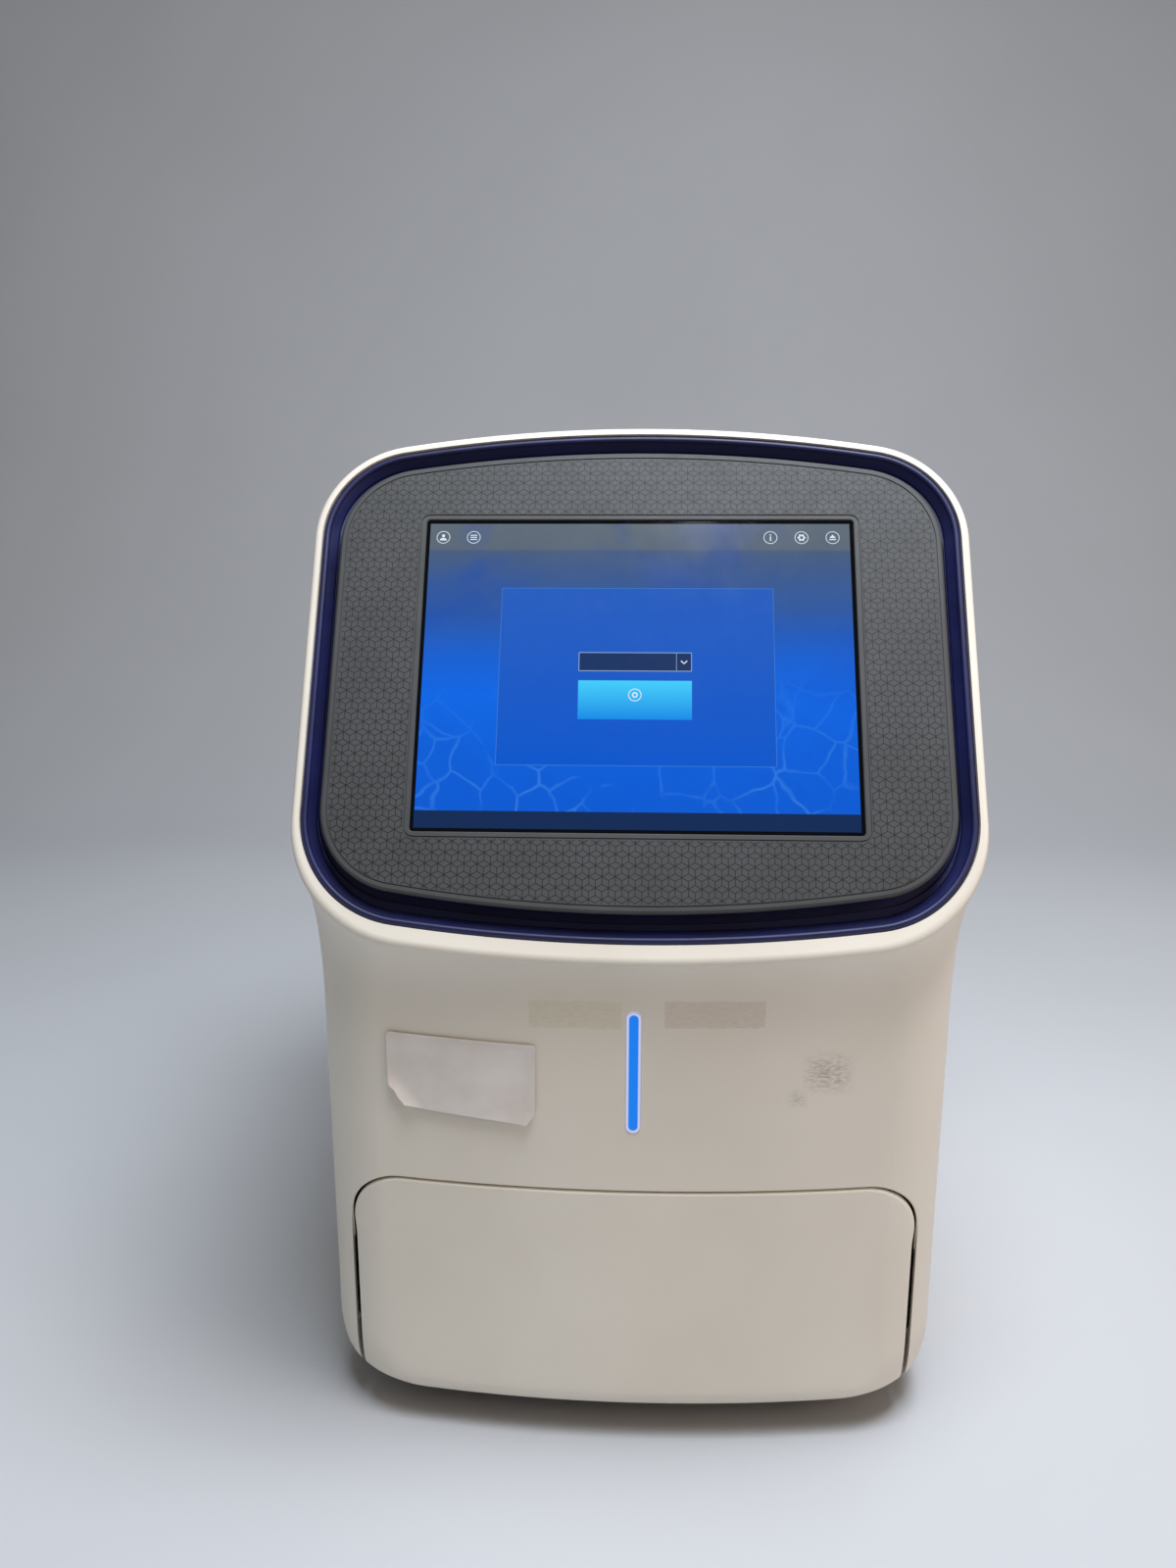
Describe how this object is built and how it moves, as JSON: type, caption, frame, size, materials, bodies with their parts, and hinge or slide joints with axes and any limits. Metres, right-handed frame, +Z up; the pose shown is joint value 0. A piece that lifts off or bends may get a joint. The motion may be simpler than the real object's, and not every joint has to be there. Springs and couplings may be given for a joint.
{
  "type": "gel documentation system",
  "caption": "Benchtop gel and blot imager: white cabinet with a tilted touch screen, a status light bar, a sliding sample drawer and a camera inside.",
  "frame": {"origin": "middle of the footprint's box, on the bench", "axes": "+X to the right seen from the front, -Y out of the front, +Z up"},
  "size_m": [0.3884, 0.486, 0.602],
  "materials": {
    "shell_white": "satin moulded",
    "cover_grey": "fine textured",
    "navy_plastic": "satin",
    "panel_grey": "matt with fine pattern",
    "black_plastic": "matt",
    "screen": "lit",
    "light_guide": "lit",
    "sheet_steel": "brushed",
    "black_metal": "matt black",
    "aluminium": "anodised",
    "brass": "machined",
    "circuit_board": "solder resist",
    "rubber": "matt",
    "clear_glass": "polished",
    "diffuser": "opal",
    "filter_glass": "coated"
  },
  "bodies": {
    "cabinet": {"front_shell": "shell_white", "main_cover": "cover_grey", "rear_panel": "cover_grey", "base_plate": "sheet_steel", "rubber_feet": "rubber", "bezel_ring": "navy_plastic", "screen_panel": "panel_grey", "touch_glass": "screen", "lcd_module": "black_plastic", "display_bracket": "sheet_steel", "display_board": "circuit_board", "light_bar": "light_guide", "light_bar_board": "circuit_board", "chamber": "black_metal", "chamber_deck": "black_metal", "slide_rails": "sheet_steel", "drawer_motor": "black_metal", "wheel_bridge": "sheet_steel", "wheel_motor": "black_metal", "camera_mount": "aluminium", "camera_body": "black_metal", "camera_heat_sink": "aluminium", "camera_fan_frame": "black_plastic", "lens_barrel": "black_metal", "focus_motor": "black_metal", "lamp_left": "black_metal", "lamp_right": "black_metal", "control_board": "circuit_board", "power_supply": "sheet_steel", "rear_fan_frame": "black_plastic", "fan_guard": "sheet_steel", "power_inlet": "black_plastic", "switch_bezel": "black_plastic", "io_panel": "sheet_steel", "rear_screws": "sheet_steel", "deck_screws": "sheet_steel"},
    "drawer": {"drawer_front": "shell_white", "drawer_face_plate": "sheet_steel", "drawer_gasket": "rubber", "drawer_tray": "sheet_steel", "drawer_deck": "black_metal", "slide_runners": "sheet_steel", "drawer_rack": "black_plastic", "trans_light_board": "circuit_board", "trans_diffuser": "diffuser", "turntable_bearing": "sheet_steel", "turntable_motor": "black_metal"},
    "stage": {"turntable": "aluminium", "platen_frame": "black_plastic", "platen_glass": "clear_glass"},
    "filter_wheel": {"filter_wheel": "black_metal", "emission_filters": "filter_glass", "wheel_shaft": "sheet_steel"},
    "drawer_pinion": {"drawer_pinion": "brass"},
    "turntable_pinion": {"turntable_pinion": "brass"},
    "focus_ring": {"focus_ring": "black_plastic"},
    "focus_pinion": {"focus_pinion": "brass"},
    "camera_fan_rotor": {"camera_fan_rotor": "black_plastic"},
    "rear_fan_rotor": {"rear_fan_rotor": "black_plastic"},
    "power_rocker": {"power_rocker": "black_plastic"}
  },
  "joints": [
    {"name": "drawer_slide", "type": "slide", "parent": "cabinet", "child": "drawer", "axis": [0, -1, 0], "range_m": [0, 0.25]},
    {"name": "drawer_pinion_spin", "type": "hinge", "parent": "cabinet", "child": "drawer_pinion", "pos_m": [0.008, -0.154, 0.045], "axis": [0, 0, 1], "range_deg": [0, 1793.5]},
    {"name": "stage_turn", "type": "hinge", "parent": "drawer", "child": "stage", "pos_m": [0, -0.02, 0.1093], "axis": [0, 0, 1], "range_deg": [-12, 12]},
    {"name": "stage_pinion_spin", "type": "hinge", "parent": "drawer", "child": "turntable_pinion", "pos_m": [0.09758, 0.07758, 0.1093], "axis": [0, 0, 1], "range_deg": [-175, 175]},
    {"name": "filter_wheel_turn", "type": "hinge", "parent": "cabinet", "child": "filter_wheel", "pos_m": [0.066, -0.02, 0.382], "axis": [0, 0, 1], "continuous": true},
    {"name": "focus_turn", "type": "hinge", "parent": "cabinet", "child": "focus_ring", "pos_m": [0, -0.02, 0.45], "axis": [0, 0, 1], "range_deg": [-60, 60]},
    {"name": "focus_pinion_spin", "type": "hinge", "parent": "cabinet", "child": "focus_pinion", "pos_m": [-0.04078, -0.03902, 0.45], "axis": [0, 0, 1], "range_deg": [-242, 242]},
    {"name": "camera_fan_spin", "type": "hinge", "parent": "cabinet", "child": "camera_fan_rotor", "pos_m": [0.004, -0.02, 0.558], "axis": [0, 0, 1], "continuous": true},
    {"name": "rear_fan_spin", "type": "hinge", "parent": "cabinet", "child": "rear_fan_rotor", "pos_m": [0, 0.2115, 0.455], "axis": [0, 1, 0], "continuous": true},
    {"name": "power_rocker_tilt", "type": "hinge", "parent": "cabinet", "child": "power_rocker", "pos_m": [-0.058, 0.228, 0.078], "axis": [1, 0, 0], "range_deg": [-14, 0]}
  ],
  "couplings": [
    {"joint": "drawer_pinion_spin", "follows": "drawer_slide", "rad_per_m": 125},
    {"joint": "stage_pinion_spin", "follows": "stage_turn", "ratio": -14.333},
    {"joint": "focus_pinion_spin", "follows": "focus_turn", "ratio": -4}
  ]
}
